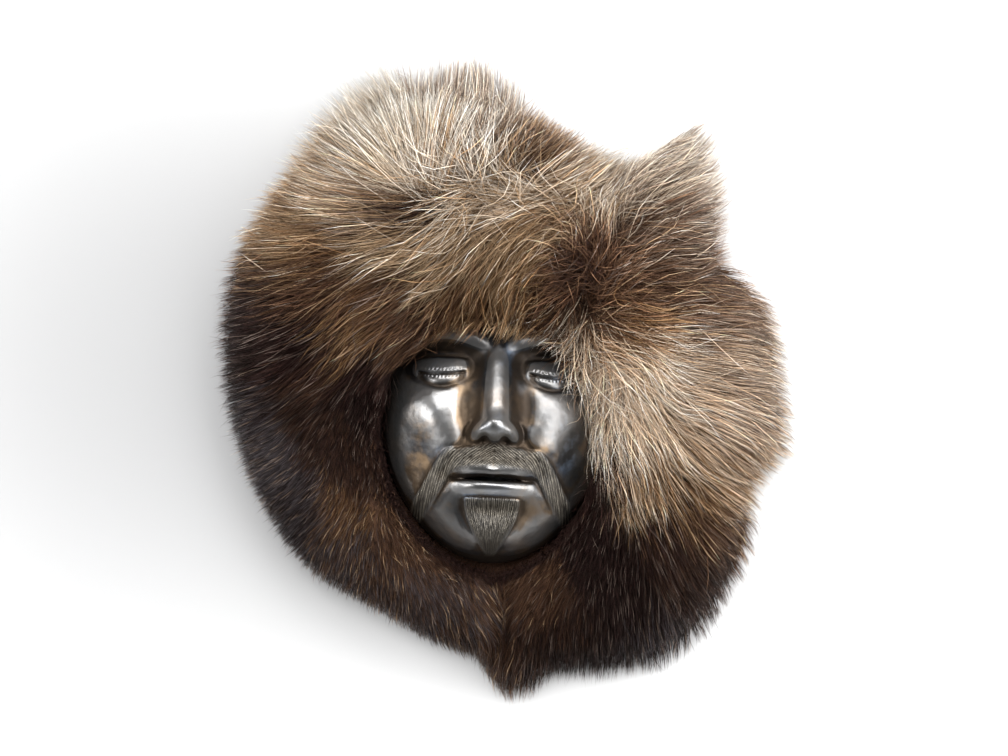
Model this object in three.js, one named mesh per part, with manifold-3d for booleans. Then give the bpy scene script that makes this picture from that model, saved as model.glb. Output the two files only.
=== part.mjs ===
// A fur-lined pottery mask, lying on its back.
// Millimetres, +Z up out of the face, +Y towards the top of the head, +X to the viewer's right.
// The origin is under the middle of the whole outline, on the surface that the mask lies on.
import * as THREE from 'three';
import { mergeVertices } from 'three/addons/utils/BufferGeometryUtils.js';
import Module from 'manifold-3d';

const wasm = await Module();
wasm.setup();

const { degToRad, radToDeg, smoothstep, euclideanModulo, clamp } = THREE.MathUtils;
const fullTurn = 2 * Math.PI;

// Driving dimensions of the pottery face. Its own frame has the base of the nose at the
// origin, u to the viewer's right, v up towards the brow and depth out of the face.
const FACE_THIRD = 60;            // brow to nose base, and nose base to chin
const FACE_HALF_WIDTH = 65;       // at the cheekbones
const FACE_TOP = 94;              // rim above the nose base, hidden under the fur
const FACE_FOOT = -62;            // rim under the chin
const FACE_DOME = 55;             // depth of the plain egg under the features
const RIM_STEP = 0.92;            // the egg's side stops short of vertical and leaves a low step
const JAW_TAPER = 0.12;           // how much the rim narrows towards the jaw
const WALL = 5.5;                 // pottery wall
const NOSE_BASE = new THREE.Vector2(-7, -44);
const TILT_BACK = degToRad(10);   // chin lifted towards the viewer
const LEAN = degToRad(-2.5);      // top of the head leans to the viewer's right
const FACE_LIFT = 7;              // raises the tilted egg so that its top rim clears the table
const MOUTH_LINE = -FACE_THIRD / 3;
const MOUTH_HALF = 17;            // the open part of the mouth
const MOUTH_GAP = 3.2;
const LID_MIDDLE = 31;            // middle of each eye from the middle line
const LID_HALF = 15;
const FACE_GRID = [36, 44];
const HOLLOW_GRID = [18, 22];

// Rounded masses of the face, the same on both sides: place beside and above the nose
// base, spread each way, and height. A hollow has a negative height.
const MASSES = {
  noseTip: [0, 7.5, 7.5, 6.5, 3],
  nostril: [5.8, 0.4, 2.4, 2, -5],
  socket: [29, 46.5, 18, 11, -9.5],
  innerCorner: [13, 45, 5, 9, -2.6],
  mouthCorner: [27, -20, 4, 4.5, -1.8],
  muzzle: [0, -17, 27, 19, 6.5],
  underLip: [0, -35.5, 15, 4.5, -3],
  chin: [0, -50, 15, 9, 7],
  cheekbone: [41, 22, 15, 12, 4.2],
  cheek: [29, 8, 12, 13, 3.6],
  cheekHollow: [43, -14, 12, 17, -3],
  besideNose: [17, 22, 5, 16, -3],
  temple: [60, 60, 10, 22, -3],
  jaw: [42, -34, 12, 12, 2.5],
};

// Driving dimensions of the fur ruff
const FUR_GAP = 1.2;              // from the pottery to the hide wrapped round it
const LOCKS = 38;                 // locks of fur round the ruff
const LINES_PER_LOCK = 3;
const LOCK_HEIGHT = 6;            // crest of a lock above the furrow beside it
const LOCK_REACH = 7;             // point of a lock beyond the notch beside it
const COMB_SWEEP = 0.26;          // radians that the locks swing down on each side
const HIDE_INSET = 24;            // the hide's flat underside stops this far inside the tips
const UNDER_DROP = 10;            // thickness of the overhanging fringe
const UNDER_INSET = 7;
const SWOLLEN_GRID = [20, 24];

// The middle of the finished outline, which the origin is moved to
const OUTLINE_SHIFT = new THREE.Vector2(-2.77, -3.78);

// Outline of the fur tips, as [degrees, radius]
const OUTLINE = [
  [0, 155], [12, 156], [30, 143], [37, 153], [45, 169], [53, 175], [58, 147], [66, 140], [80, 147],
  [90, 160], [102, 176], [117, 187], [135, 175], [155, 170], [180, 161], [205, 157], [225, 156],
  [240, 151], [256, 156], [264, 160], [270, 179], [280, 173], [302, 183], [320, 172], [338, 154],
  [346, 162],
];

// Edge of the fur round the face, as [degrees, radius] round the middle of the opening
const OPENING_MIDDLE = new THREE.Vector2(-8, -36);
const OPENING = [
  [0, 61], [30, 62], [60, 67], [90, 69], [120, 69], [145, 66], [180, 61], [215, 61], [245, 66],
  [270, 71], [295, 66], [325, 59],
];

// Shape of the roll of fur, as [degrees, lip height, crest height, crest place, edge height]
const ROLL = [
  [0, 46, 72, 0.26, 22], [45, 52, 84, 0.34, 26], [90, 50, 88, 0.42, 24], [135, 48, 80, 0.38, 22],
  [180, 36, 58, 0.30, 20], [225, 33, 50, 0.28, 19], [270, 29, 43, 0.32, 14], [315, 38, 57, 0.28, 16],
];

// Stations across the top of the roll, from the tips of the fur to its lip at the face,
// and the tiers in which the locks overlap
const STATIONS = [1, 0.93, 0.82, 0.72, 0.68, 0.55, 0.42, 0.38, 0.25, 0.12, 0];
const TIERS = [0, 0.4, 0.7, 1.01];

// A smooth closed curve through rows of [degrees, value, ...]
function around(rows, angle, column = 1) {
  const turn = euclideanModulo(radToDeg(angle), 360);
  const count = rows.length;
  const index = rows.findLastIndex((row) => row[0] <= turn);
  const knot = (k) => {
    const row = rows[euclideanModulo(k, count)];
    return [row[0] + 360 * Math.floor(k / count), row[column]];
  };
  const [before, start, end, after] = [-1, 0, 1, 2].map((k) => knot(index + k));
  const span = end[0] - start[0];
  const t = (turn - start[0]) / span;
  const startSlope = (end[1] - before[1]) / (end[0] - before[0]) * span;
  const endSlope = (after[1] - start[1]) / (after[0] - start[0]) * span;
  return (2 * t ** 3 - 3 * t ** 2 + 1) * start[1] + (t ** 3 - 2 * t ** 2 + t) * startSlope
    + (3 * t ** 2 - 2 * t ** 3) * end[1] + (t ** 3 - t ** 2) * endSlope;
}

// A rounded mass, the same on both sides of the face when it stands off the middle line
function mass(u, v, [beside, above, spreadU, spreadV, height]) {
  return height * Math.exp(-(((Math.abs(u) - beside) / spreadU) ** 2) - ((v - above) / spreadV) ** 2);
}

// A rounded ridge, by distance from its middle line
const ridge = (distance, halfWidth) => Math.exp(-((distance / halfWidth) ** 2));

// 1 between two limits, fading over the given length outside each
function between(x, low, high, fade) {
  return smoothstep(x, low - fade, low) * (1 - smoothstep(x, high, high + fade));
}

// How far out a point of the face lies: 0 in the middle of the egg, 1 on its rim
const eggMiddle = (FACE_TOP + FACE_FOOT) / 2;
const eggHalf = (FACE_TOP - FACE_FOOT) / 2;
const eggWidth = (v) => FACE_HALF_WIDTH * (1 + JAW_TAPER * (v - eggMiddle) / eggHalf);
const eggRadius = (u, v) => Math.hypot(u / eggWidth(v), (v - eggMiddle) / eggHalf);
const eggDepth = (out) => FACE_DOME * Math.sqrt(1 - RIM_STEP * Math.min(out, 1) ** 2.5);
const rimDepth = eggDepth(1);

// Nose: a straight bridge that grows from the root to a round tip, a curved underside and wings
function nose(u, v) {
  const side = Math.abs(u);
  const down = clamp((52 - v) / 43, 0, 1);
  const underside = 1 - clamp((10 - v) / 13, 0, 1) ** 2.4;
  const height = (3 + 14 * down ** 1.1) * underside * (1 - smoothstep(v, 44, 60));
  const bridge = height * Math.exp(-((side / (5.5 + 4 * down)) ** 2.8));
  const wing = mass(u, v, [9.8, 4.6, 3.9, 4.6, 6]) * smoothstep(v, -4, 2.5);
  return bridge + wing;
}

// Brow ridge, and a closed and rounded lid with its slit, in the hollow of the socket
function eye(u, v) {
  const side = Math.abs(u);
  const browLine = FACE_THIRD - 3.5 + 7 * Math.sin(Math.PI * clamp((side - 6) / 56, 0, 1)) ** 1.1;
  const brow = 5.2 * ridge(v - browLine, 5) * between(side, 15, 40, 13);
  const almond = clamp(1 - ((side - LID_MIDDLE) / 18.5) ** 2 - ((v - 43) / 12) ** 2, 0, 1);
  const lidLine = 41 - 2.6 * (1 - ((side - LID_MIDDLE) / LID_HALF) ** 2);
  const slit = 2 * ridge(v - lidLine, 1.3) * between(side, 19.5, 42.5, 3);
  return brow + 9 * almond ** 1.35 - slit;
}

// Lips, with a groove where they meet
function lips(u, v) {
  const side = Math.abs(u);
  const above = v - MOUTH_LINE - 0.0012 * side ** 2;
  const upper = 4.8 * smoothstep(26 - side, 0, 14) * ridge(above - 4.4, 3.2);
  const lower = 5.6 * smoothstep(24 - side, 0, 15) * ridge(above + 5.4, 4.2);
  const groove = 3.6 * smoothstep(28 - side, 0, 9) * ridge(above, 1.8);
  return upper + lower - groove;
}

// Moustache: a thick strip that runs out over the lip and down past the mouth's corners
const moustacheLine = (side) => -7.6 - 28.4 * smoothstep(side, 20, 50) - 0.1 * side;

function moustache(u, v) {
  const side = Math.abs(u);
  const slope = moustacheLine(side + 0.5) - moustacheLine(side - 0.5);
  const away = Math.abs(v - moustacheLine(side)) / Math.hypot(1, slope);
  const width = 7 - 1.6 * smoothstep(side, 24, 46);
  return 2.4 * (1 - smoothstep(away, width * 0.62, width * 1.05)) * between(side, 1, 42, 5);
}

// Chin beard: a shield under the lower lip that narrows to a point at the chin
function chinBeard(u, v) {
  const half = 15 * smoothstep(v, -63, -33) ** 0.65;
  return 2.2 * between(v, -57, -31.5, 2.5) * (1 - smoothstep(Math.abs(u), half - 1.5, half + 1.5));
}

const masses = (u, v) => Object.values(MASSES).reduce((sum, row) => sum + mass(u, v, row), 0);

function faceDepth(u, v) {
  const out = eggRadius(u, v);
  const features = masses(u, v) + nose(u, v) + eye(u, v) + lips(u, v) + moustache(u, v) + chinBeard(u, v);
  return eggDepth(out) + (1 - smoothstep(out, 0.86, 1)) * features;
}

// The hollow behind the face follows the egg and its rounded masses, but no fine feature
function hollowDepth(u, v) {
  const out = eggRadius(u, v);
  return eggDepth(out) + (1 - smoothstep(out, 0.7, 0.95)) * masses(u, v) - WALL;
}

// From the face's own frame to the part's frame, tilted back and leaning
function placeFace(u, v, depth) {
  const point = new THREE.Vector3(u, v, depth);
  point.applyAxisAngle(new THREE.Vector3(1, 0, 0), -TILT_BACK);
  point.applyAxisAngle(new THREE.Vector3(0, 0, 1), LEAN);
  return point.add(new THREE.Vector3(NOSE_BASE.x, NOSE_BASE.y, FACE_LIFT));
}

// Spacing that is closer in the middle of the face, for x from -1 to 1
const closerInside = (x) => x * (0.78 + 0.22 * x * x);

// A closed block under a surface of the face: a box whose top becomes the surface and whose
// sides run straight down from the egg's rim to the floor. It is swollen or shrunk by grow.
function faceBlock([columns, rows], depth, grow, floor) {
  const block = bare(new THREE.BoxGeometry(2, 2, 2, columns, rows, 1));
  return reshape(block, (corner) => {
    const x = closerInside(corner.x);
    const y = closerInside(corner.y);
    const v = eggMiddle + eggHalf * y * Math.sqrt(1 - x * x / 2);
    const u = eggWidth(v) * x * Math.sqrt(1 - y * y / 2);
    const grownU = u * (1 + grow / FACE_HALF_WIDTH);
    const grownV = v + grow * (v - eggMiddle) / eggHalf;
    if (corner.z > 0) return placeFace(grownU, grownV, depth(u, v));
    return placeFace(grownU, grownV, rimDepth).setZ(floor);
  });
}

// A point of the pottery's rim seen from above, moved in by inset, for a turn round the egg
function rimPoint(turn, inset) {
  const v = eggMiddle + eggHalf * Math.sin(turn);
  const point = placeFace(eggWidth(v) * Math.cos(turn), v, rimDepth);
  const middle = placeFace(0, eggMiddle, rimDepth);
  const outward = point.sub(middle);
  outward.setLength(outward.length() - inset);
  return middle.add(outward);
}

// Seen from above, a point at a turn round the ring and a place across it: 0 is the fur's
// lip at the face and 1 its tips. The lines across the ring swing down on each side.
function ringPlan(turn, across, reach) {
  const direction = new THREE.Vector2(Math.cos(turn), Math.sin(turn));
  const inner = direction.clone().multiplyScalar(around(OPENING, turn)).add(OPENING_MIDDLE);
  const outer = direction.multiplyScalar(around(OUTLINE, turn) + reach);
  return inner.lerp(outer, across);
}

// Height of the fur there: up from the lip to a crest, then down to the overhanging edge
function ringHeight(turn, across) {
  const [lip, crest, crestPlace, edge] = [1, 2, 3, 4].map((column) => around(ROLL, turn, column));
  if (across < crestPlace) {
    return lip + (crest - lip) * Math.sin(across / crestPlace * Math.PI / 2) ** 0.8;
  }
  const fall = (across - crestPlace) / (1 - crestPlace);
  return edge + (crest - edge) * Math.sqrt(1 - fall ** 2.2);
}

// A repeatable number from 0 to 1 for each lock
const lockRandom = (lock, salt) => euclideanModulo(Math.sin(lock * 12.9898 + salt * 78.233) * 43758.5453, 1);

// Locks of fur lie in tiers. Each rises towards its point, over the start of the next tier.
function lockRaise(line, across) {
  const tier = TIERS.findLastIndex((start) => start <= across);
  const along = (across - TIERS[tier]) / (TIERS[tier + 1] - TIERS[tier]);
  const shifted = line + tier;
  const lock = Math.floor(shifted / LINES_PER_LOCK) % LOCKS;
  const isRidge = shifted % LINES_PER_LOCK === 1;
  const strength = 0.5 + lockRandom(lock, tier);
  const fromLip = smoothstep(across, 0, 0.2);
  return fromLip * strength * LOCK_HEIGHT * (isRidge ? 0.25 + 0.5 * along : -0.45 * along);
}

function lockReach(line) {
  const shifted = line + TIERS.length - 2;
  const strength = 0.4 + 1.2 * lockRandom(Math.floor(shifted / LINES_PER_LOCK) % LOCKS, LOCKS);
  return strength * LOCK_REACH * (shifted % LINES_PER_LOCK === 1 ? 0.5 : -0.3);
}

// The ring of fur: a torus whose section becomes the roll, with a flat hide underneath
function furRing() {
  const lines = LOCKS * LINES_PER_LOCK;
  const underPoints = 4;
  const sectionPoints = STATIONS.length + underPoints;
  const ring = bare(new THREE.TorusGeometry(2, 1, sectionPoints, lines));
  return reshape(ring, (corner) => {
    const around01 = Math.atan2(corner.y, corner.x) / fullTurn;
    const section01 = Math.atan2(corner.z, Math.hypot(corner.x, corner.y) - 2) / fullTurn;
    const line = euclideanModulo(Math.round(around01 * lines), lines);
    const station = euclideanModulo(Math.round(section01 * sectionPoints), sectionPoints);
    const turn = line / lines * fullTurn;
    const swept = (across) => turn - COMB_SWEEP * Math.cos(turn) * across;
    if (station < STATIONS.length) {
      const across = STATIONS[station];
      const plan = ringPlan(swept(across), across, lockReach(line) * across);
      return new THREE.Vector3(plan.x, plan.y, ringHeight(swept(across), across) + lockRaise(line, across));
    }
    const lip = ringPlan(turn, 0, 0);
    const rimMiddle = placeFace(0, eggMiddle, rimDepth);
    const rim = rimPoint(Math.atan2(lip.y - rimMiddle.y, lip.x - rimMiddle.x), FUR_GAP * 2);
    const tip = ringPlan(swept(1), 1, 0);
    const edge = ringHeight(swept(1), 1);
    const tipOut = tip.length();
    return [
      () => rim.setZ(ringHeight(turn, 0) / 2),
      () => rim.setZ(0),
      () => new THREE.Vector3(tip.x, tip.y, 0).setLength(tipOut - HIDE_INSET),
      () => new THREE.Vector3(tip.x, tip.y, 0).setLength(tipOut - UNDER_INSET).setZ(edge - UNDER_DROP),
    ][station - STATIONS.length]();
  });
}

// The slit of the mouth: a lens that goes right through the wall
function mouthSlit() {
  const lens = new THREE.Shape();
  lens.moveTo(-MOUTH_HALF, 0);
  lens.quadraticCurveTo(0, MOUTH_GAP, MOUTH_HALF, 0);
  lens.quadraticCurveTo(0, -MOUTH_GAP, -MOUTH_HALF, 0);
  const slit = bare(new THREE.ExtrudeGeometry(lens, {
    depth: FACE_DOME * 2, bevelEnabled: false, curveSegments: 6,
  }));
  return reshape(slit, (corner) => placeFace(corner.x, corner.y + MOUTH_LINE, corner.z));
}

// A geometry with its shared corners merged
function bare(geometry) {
  geometry.deleteAttribute('normal');
  geometry.deleteAttribute('uv');
  return mergeVertices(geometry);
}

// Moves every corner of a geometry
function reshape(geometry, move) {
  const place = geometry.attributes.position;
  for (let i = 0; i < place.count; i += 1) {
    const moved = move(new THREE.Vector3().fromBufferAttribute(place, i));
    place.setXYZ(i, moved.x - OUTLINE_SHIFT.x, moved.y - OUTLINE_SHIFT.y, moved.z);
  }
  return geometry;
}

// From three.js geometry to a solid that can be joined and cut, and back to a named mesh
function toSolid(geometry) {
  const vertProperties = Float32Array.from(geometry.attributes.position.array);
  const triVerts = Uint32Array.from(geometry.index.array);
  return new wasm.Manifold(new wasm.Mesh({ numProp: 3, vertProperties, triVerts }));
}

function toMesh(name, solid, material) {
  const { vertProperties, triVerts } = solid.getMesh();
  const geometry = new THREE.BufferGeometry();
  geometry.setAttribute('position', new THREE.BufferAttribute(vertProperties, 3));
  geometry.setIndex(new THREE.BufferAttribute(triVerts, 1));
  geometry.computeVertexNormals();
  const mesh = new THREE.Mesh(geometry, material);
  mesh.name = name;
  return mesh;
}

// Finishes
const lustreGlaze = new THREE.MeshStandardMaterial({ color: 0x4a4a4c, roughness: 0.3, metalness: 0.8 });
const brownFur = new THREE.MeshStandardMaterial({ color: 0x6d543c, roughness: 0.9, metalness: 0 });

// The pottery is a shell: the face's block, less the hollow behind it and the open mouth
function potteryFace() {
  const outside = toSolid(faceBlock(FACE_GRID, faceDepth, 0, 0));
  const hollow = toSolid(faceBlock(HOLLOW_GRID, hollowDepth, -WALL, -WALL));
  const face = outside.subtract(hollow).subtract(toSolid(mouthSlit()));
  return toMesh('pottery_face', face, lustreGlaze);
}

// The ruff is the ring of fur, less the room that the face takes in it
function furRuff() {
  const room = toSolid(faceBlock(SWOLLEN_GRID, (u, v) => faceDepth(u, v) + FUR_GAP, FUR_GAP, -WALL));
  return toMesh('fur_ruff', toSolid(furRing()).subtract(room), brownFur);
}

const mask = new THREE.Group();
mask.add(potteryFace(), furRuff());
export default mask;
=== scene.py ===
# A fur-lined pottery mask lying on its back, seen from straight above.
# Sizes in the drawing are millimetres; every mesh is made in metres in the frame's own place.
import math

import bmesh
import bpy
import numpy as np
from mathutils import Matrix, Vector
from mathutils.kdtree import KDTree


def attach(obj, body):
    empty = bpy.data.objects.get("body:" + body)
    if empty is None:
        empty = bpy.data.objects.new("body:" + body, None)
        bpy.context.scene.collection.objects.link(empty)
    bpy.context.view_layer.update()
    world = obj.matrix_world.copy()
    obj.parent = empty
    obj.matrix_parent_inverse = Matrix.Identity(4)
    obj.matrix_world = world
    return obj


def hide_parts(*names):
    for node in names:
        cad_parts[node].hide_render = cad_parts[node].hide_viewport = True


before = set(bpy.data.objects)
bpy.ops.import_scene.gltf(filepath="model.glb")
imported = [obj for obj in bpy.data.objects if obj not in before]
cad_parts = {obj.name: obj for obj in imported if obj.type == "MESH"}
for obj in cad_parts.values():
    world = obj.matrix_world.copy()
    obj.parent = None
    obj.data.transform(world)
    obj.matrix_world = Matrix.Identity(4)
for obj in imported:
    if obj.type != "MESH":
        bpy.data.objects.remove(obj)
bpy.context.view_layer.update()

MM = 0.001
SHIFT = np.array([2.77, 3.78, 0.0])       # from the drawing's middle to the frame's origin

# The pottery face, in its own frame: u to the viewer's right, v up, both from the nose base
FACE_THIRD = 60.0
FACE_HALF_WIDTH = 65.0
FACE_TOP = 94.0
FACE_FOOT = -62.0
FACE_DOME = 55.0
RIM_STEP = 0.92
JAW_TAPER = 0.12
WALL = 5.5
NOSE_BASE = (-7.0, -44.0)
TILT_BACK = math.radians(10)
LEAN = math.radians(-2.5)
FACE_LIFT = 7.0
MOUTH_LINE = -FACE_THIRD / 3
MOUTH_HALF = 17.0
MOUTH_GAP = 3.2
LID_MIDDLE = 31.0
LID_HALF = 15.0
FACE_CELLS = (208, 240)
HOLLOW_CELLS = (40, 48)

# Rounded masses of the face: place beside and above the nose base, spread each way, height
MASSES = {
    "nose_tip": (0, 7.5, 7.5, 6.5, 3),
    "nostril": (5.8, 0.4, 2.4, 2, -5),
    "socket": (29, 46.5, 18, 11, -9.5),
    "inner_corner": (13, 45, 5, 9, -2.6),
    "mouth_corner": (27, -20, 4, 4.5, -1.8),
    "muzzle": (0, -17, 27, 19, 6.5),
    "under_lip": (0, -35.5, 15, 4.5, -3),
    "chin": (0, -50, 15, 9, 7),
    "cheekbone": (41, 22, 15, 12, 4.2),
    "cheek": (29, 8, 12, 13, 3.6),
    "cheek_hollow": (43, -14, 12, 17, -3),
    "beside_nose": (17, 22, 5, 16, -3),
    "temple": (60, 60, 10, 22, -3),
    "jaw": (42, -34, 12, 12, 2.5),
}

# The ruff: outline of the fur tips, as (degrees, radius) round the drawing's middle
OUTLINE = (
    (0, 155), (12, 156), (30, 143), (37, 153), (45, 169), (53, 175), (58, 147), (66, 140), (80, 147),
    (90, 160), (102, 176), (117, 187), (135, 175), (155, 170), (180, 161), (205, 157), (225, 156),
    (240, 151), (256, 156), (264, 160), (270, 179), (280, 173), (302, 183), (320, 172), (338, 154),
    (346, 162),
)

# Edge of the fur round the face, as (degrees, radius) round the middle of the opening
OPENING_MIDDLE = (-8.0, -36.0)
OPENING = (
    (0, 61), (30, 62), (60, 67), (90, 69), (120, 69), (145, 66), (180, 61), (215, 61), (245, 66),
    (270, 71), (295, 66), (325, 59),
)

# Shape of the roll of fur, as (degrees, lip height, crest height, crest place, edge height)
ROLL = (
    (0, 46, 72, 0.26, 22), (45, 52, 84, 0.34, 26), (90, 50, 88, 0.42, 24), (135, 48, 80, 0.38, 22),
    (180, 36, 58, 0.30, 20), (225, 33, 50, 0.28, 19), (270, 29, 43, 0.32, 14), (315, 38, 57, 0.28, 16),
)

# Soft folds of the hide, as (x, y, heading in degrees, half length, half width, height)
FOLDS = (
    (-2, -142, 268, 34, 3.5, -6), (-12, -140, 270, 30, 7, 4), (-34, -105, 320, 26, 6, -5),
    (-52, -118, 312, 24, 8, 4), (-84, -58, 282, 26, 7, -5), (-72, -84, 285, 20, 9, 4),
    (-100, -78, 300, 26, 7, 3.5), (-118, -30, 280, 30, 9, -3), (-126, 20, 262, 22, 9, 3),
    (26, -122, 262, 26, 6, -3.5), (70, -120, 290, 28, 9, -3), (64, -18, 100, 34, 13, 7),
)

# How far the hide under the hair lies inside the tips, as (degrees, inset, depth)
COAT = (
    (0, 13, 9), (45, 18, 11), (75, 12, 9), (95, 20, 11), (120, 18, 11), (150, 13, 9), (180, 9, 7),
    (210, 6, 5), (240, 5.5, 4.5), (262, 6, 4.5), (270, 10, 5), (300, 11, 6), (325, 12, 8),
)

# The fringe: how far the tips reach as a multiple of the outline, and how uneven they are
FRINGE = (
    (0, 1.075, 0.07), (30, 1.05, 0.06), (45, 1.07, 0.07), (56, 1.06, 0.06), (80, 1.04, 0.05),
    (88, 1.08, 0.08), (95, 1.22, 0.17), (101, 1.09, 0.09), (112, 1.06, 0.08), (130, 1.03, 0.06),
    (180, 1.03, 0.05), (200, 1.015, 0.02), (250, 1.01, 0.015), (263, 1.05, 0.06), (280, 1.09, 0.11),
    (310, 1.08, 0.11), (330, 1.06, 0.07),
)

# How far the hair may hang over the face, as a multiple of the opening
LIP_REACH = (
    (0, 0.90), (30, 0.80), (50, 0.83), (75, 0.88), (100, 0.88), (140, 0.90), (180, 0.94), (225, 0.96),
    (270, 0.98), (330, 0.94),
)
HIDE_INSET = 24.0
FUR_GAP = 1.2

# Tones of the fur, from the skin to the tips of the hair; the dark roots are partly the hair's own banding
# and partly painted shade deep in the coat
TONES = {
    "IVORY": ((0.441, 0.347, 0.263), (0.756, 0.651, 0.536), (0.95, 0.945, 0.871)),
    "CREAM": ((0.404, 0.292, 0.202), (0.666, 0.535, 0.398), (0.938, 0.867, 0.766)),
    "PEACH": ((0.46, 0.30, 0.19), (0.70, 0.48, 0.31), (0.95, 0.80, 0.64)),
    "BLONDE": ((0.60, 0.41, 0.27), (0.84, 0.61, 0.42), (0.95, 0.84, 0.69)),
    "SAND": ((0.108, 0.0586, 0.0317), (0.366, 0.234, 0.132), (0.714, 0.522, 0.335)),
    "GOLDEN": ((0.0377, 0.0166, 0.00846), (0.203, 0.105, 0.0469), (0.524, 0.326, 0.165)),
    "UMBER": ((0.017, 0.0078, 0.0046), (0.092, 0.044, 0.023), (0.331, 0.189, 0.110)),
    "TAUPE": ((0.045, 0.026, 0.019), (0.20, 0.135, 0.096), (0.55, 0.43, 0.34)),
    "SABLE": ((0.0048, 0.0020, 0.0018), (0.014, 0.0061, 0.0053), (0.082, 0.040, 0.034)),
    "RUST": ((0.0108, 0.00495, 0.00306), (0.0531, 0.0243, 0.0144), (0.196, 0.106, 0.0639)),
    "ASH": ((0.024, 0.0168, 0.0136), (0.084, 0.0608, 0.0496), (0.296, 0.232, 0.196)),
    # A grey tone for the low left edge and the foot: partly the fur's own grey, partly painted sheen
    "SMOKE": ((0.016, 0.013, 0.013), (0.068, 0.056, 0.059), (0.270, 0.234, 0.248)),
}

TONE_NAMES = list(TONES)

# The lighter tone of the single hairs that stand out from each tone: partly lighter hairs, partly painted
# sheen flecking the coat
FLECKS = {
    "IVORY": "IVORY", "CREAM": "IVORY", "PEACH": "BLONDE", "BLONDE": "BLONDE", "SAND": "CREAM",
    "GOLDEN": "SAND", "UMBER": "SAND", "TAUPE": "CREAM", "SABLE": "ASH", "RUST": "ASH", "SMOKE": "TAUPE",
    "ASH": "ASH",
}

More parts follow.
